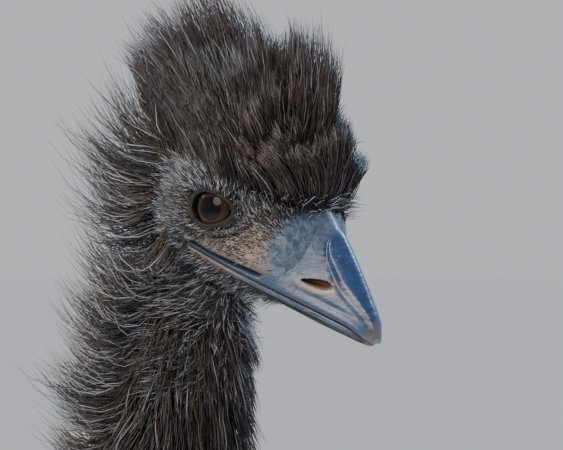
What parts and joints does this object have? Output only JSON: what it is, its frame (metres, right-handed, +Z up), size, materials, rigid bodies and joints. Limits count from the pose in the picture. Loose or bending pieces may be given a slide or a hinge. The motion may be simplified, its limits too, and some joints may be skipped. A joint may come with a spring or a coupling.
{
  "type": "emu",
  "caption": "Life-size still model of a nearly full-grown emu, standing square on both feet with its neck raised and its bill turned down.",
  "frame": {"origin": "middle of the outline seen from above, on the floor under the soles", "axes": "+X the way the bird faces, +Y to its left, +Z up"},
  "size_m": [0.8802, 0.4208, 1.4814],
  "materials": {
    "plumage": "loose hair-like feathers, dark brown-black, paler grey-brown at their roots",
    "horn": "satin steel-blue horn, pale scuffs, horn-coloured tip",
    "eye": "wet gloss, brown iris round a black pupil",
    "bare_skin": "matt bare skin",
    "scales": "dry horny scutes, dark grey-brown",
    "claw": "satin black horn"
  },
  "bodies": {
    "root": {"head": "plumage", "neck_upper": "plumage", "neck_middle": "plumage", "neck_base": "plumage", "torso": "plumage", "wing_left": "plumage", "wing_right": "plumage", "tail": "plumage", "drumstick_left": "plumage", "drumstick_right": "plumage", "bill_upper": "horn", "bill_lower": "horn", "eye_left": "eye", "eye_right": "eye", "ear_left": "bare_skin", "ear_right": "bare_skin", "shank_left": "scales", "foot_left": "scales", "toe_inner_left": "scales", "claw_inner_left": "claw", "toe_middle_left": "scales", "claw_middle_left": "claw", "toe_outer_left": "scales", "claw_outer_left": "claw", "shank_right": "scales", "foot_right": "scales", "toe_inner_right": "scales", "claw_inner_right": "claw", "toe_middle_right": "scales", "claw_middle_right": "claw", "toe_outer_right": "scales", "claw_outer_right": "claw"}
  },
  "joints": []
}
